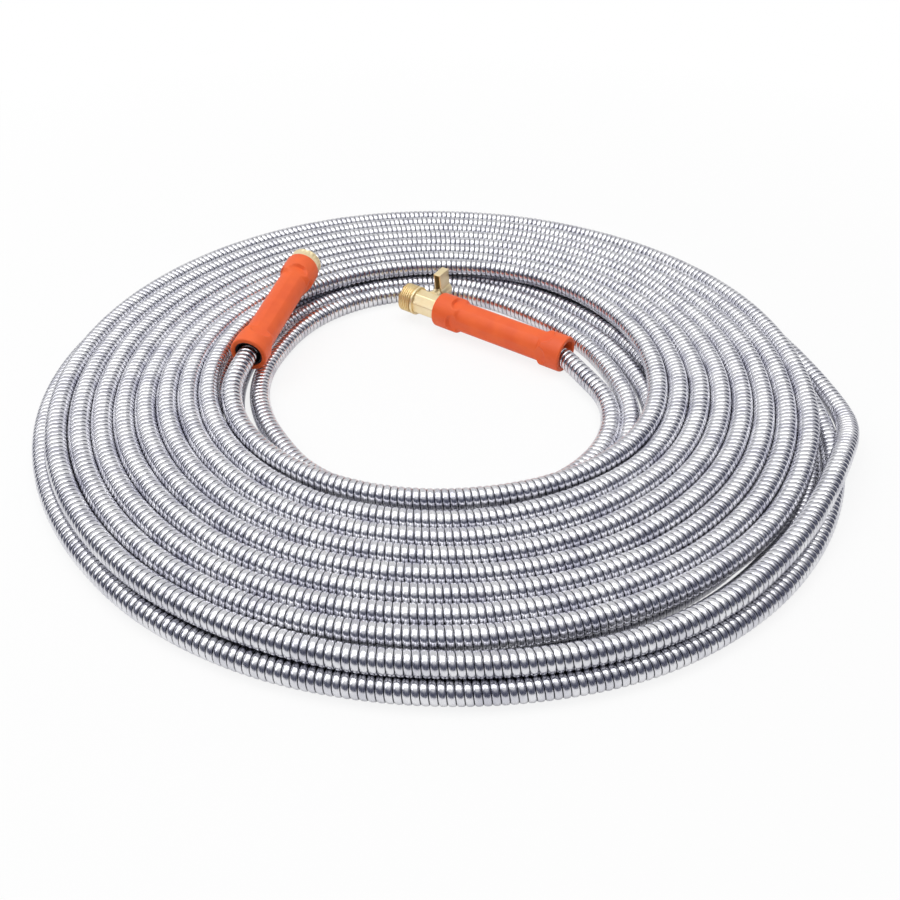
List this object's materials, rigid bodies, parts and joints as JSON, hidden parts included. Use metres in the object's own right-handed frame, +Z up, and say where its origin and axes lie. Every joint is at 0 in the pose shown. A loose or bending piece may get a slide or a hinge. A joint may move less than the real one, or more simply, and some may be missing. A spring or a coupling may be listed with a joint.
{
  "type": "coiled garden hose with shut-off valve",
  "caption": "Steel-jacketed garden hose coiled flat in two layers, with rubber grips, a lever ball valve with a male thread at the outlet and a swivel female nut at the inlet.",
  "frame": {"origin": "on the floor at the centre of the coil", "axes": "+Z up out of the floor; +Y to the back, +X to the right as the coil lies with the outlet valve at the back left of the open middle"},
  "size_m": [0.6712, 0.663, 0.0652],
  "materials": {
    "steel_jacket": "polished stainless strip, interlocked ribs",
    "grip_rubber": "soft matte moulded rubber, orange",
    "brass": "satin machined and cast brass",
    "seal_rubber": "smooth black rubber",
    "seat_plastic": "white PTFE",
    "liner_plastic": "flexible plastic liner",
    "ferrule_steel": "drawn and crimped stainless cup",
    "chrome": "chrome-plated ball",
    "screw_steel": "zinc-plated steel screw"
  },
  "bodies": {
    "hose_and_ends": {"coil_lower": "steel_jacket", "coil_upper": "steel_jacket", "crossover_run": "steel_jacket", "outlet_run": "steel_jacket", "inlet_run": "steel_jacket", "outlet_grip": "grip_rubber", "outlet_bush": "seal_rubber", "outlet_jacket_end": "steel_jacket", "outlet_liner_end": "liner_plastic", "outlet_ferrule": "ferrule_steel", "outlet_tail": "brass", "valve_body": "brass", "tail_seal": "seal_rubber", "rear_seat": "seat_plastic", "front_seat": "seat_plastic", "inlet_grip": "grip_rubber", "inlet_bush": "seal_rubber", "inlet_jacket_end": "steel_jacket", "inlet_liner_end": "liner_plastic", "inlet_ferrule": "ferrule_steel", "inlet_tail": "brass"},
    "valve_lever": {"ball": "chrome", "stem": "brass", "stem_seals": "seal_rubber", "lever": "brass", "lever_screw": "screw_steel"},
    "swivel_nut": {"inlet_nut": "brass", "hose_washer": "seal_rubber"}
  },
  "joints": [
    {"name": "lever_turn", "type": "hinge", "parent": "hose_and_ends", "child": "valve_lever", "pos_m": [-0.0118, 0.12558, 0.01897], "axis": [0.5728, 0.8078, 0.1392], "range_deg": [0, 90]},
    {"name": "nut_swivel", "type": "hinge", "parent": "hose_and_ends", "child": "swivel_nut", "pos_m": [-0.13067, 0.14102, 0.04923], "axis": [0.2287, 0.9673, 0.1097], "continuous": true}
  ]
}
